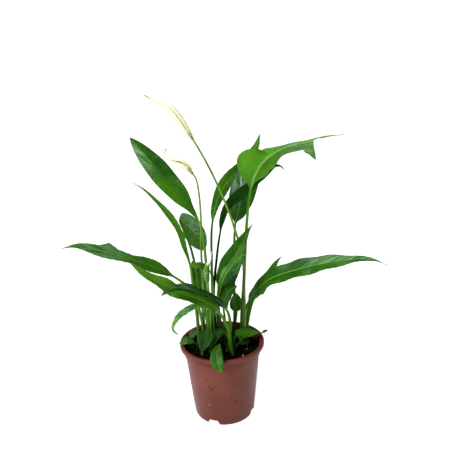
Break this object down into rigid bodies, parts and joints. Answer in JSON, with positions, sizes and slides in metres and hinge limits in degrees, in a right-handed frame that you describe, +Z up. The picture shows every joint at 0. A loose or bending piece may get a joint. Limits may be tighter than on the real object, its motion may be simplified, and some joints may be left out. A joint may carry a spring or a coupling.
{
  "type": "potted peace lily",
  "caption": "Small peace lily in a round plastic nursery pot: long arching leaves on thin stalks, short leaves round the foot, cream hooded blooms and a closed bud.",
  "frame": {"origin": "the middle of the pot's underside, at the height of its foot ring", "axes": "+Z up along the pot's axis; -Y towards the viewer, so +X is to the viewer's right and the foliage spreads widest along X"},
  "size_m": [0.404, 0.208, 0.457],
  "materials": {
    "pot": "satin terracotta brown",
    "soil": "dark crumbly potting soil, rough",
    "leaf": "glossy deep green leaf",
    "flower_stem": "smooth light green stalk",
    "spathe": "soft cream petal with green at its edges",
    "spadix": "matt khaki, knobbed",
    "bud": "smooth pale green"
  },
  "bodies": {
    "root": {"pot": "pot", "soil": "soil", "leaf_upper_left": "leaf", "leaf_narrow_left": "leaf", "leaf_far_left": "leaf", "leaf_round_back": "leaf", "leaf_front_left": "leaf", "leaf_over_left": "leaf", "leaf_drooping_left": "leaf", "leaf_tall_back": "leaf", "leaf_dark_right": "leaf", "leaf_glossy_back": "leaf", "leaf_crested_right": "leaf", "leaf_middle": "leaf", "leaf_middle_front": "leaf", "leaf_far_right": "leaf", "leaf_right_back": "leaf", "leaf_low_right": "leaf", "leaf_low_middle": "leaf", "leaf_behind_stems": "leaf", "leaf_young_left": "leaf", "foot_leaf_left": "leaf", "foot_leaf_left_up": "leaf", "foot_leaf_centre_left": "leaf", "foot_leaf_centre": "leaf", "foot_leaf_front": "leaf", "foot_leaf_right": "leaf", "foot_leaf_right_low": "leaf", "foot_leaf_rim_right": "leaf", "flower_1_stem": "flower_stem", "flower_1_spathe": "spathe", "flower_1_spadix": "spadix", "flower_2_stem": "flower_stem", "flower_2_spathe": "spathe", "flower_2_spadix": "spadix", "bud_stem": "flower_stem", "bud_spathe": "bud"}
  },
  "joints": []
}
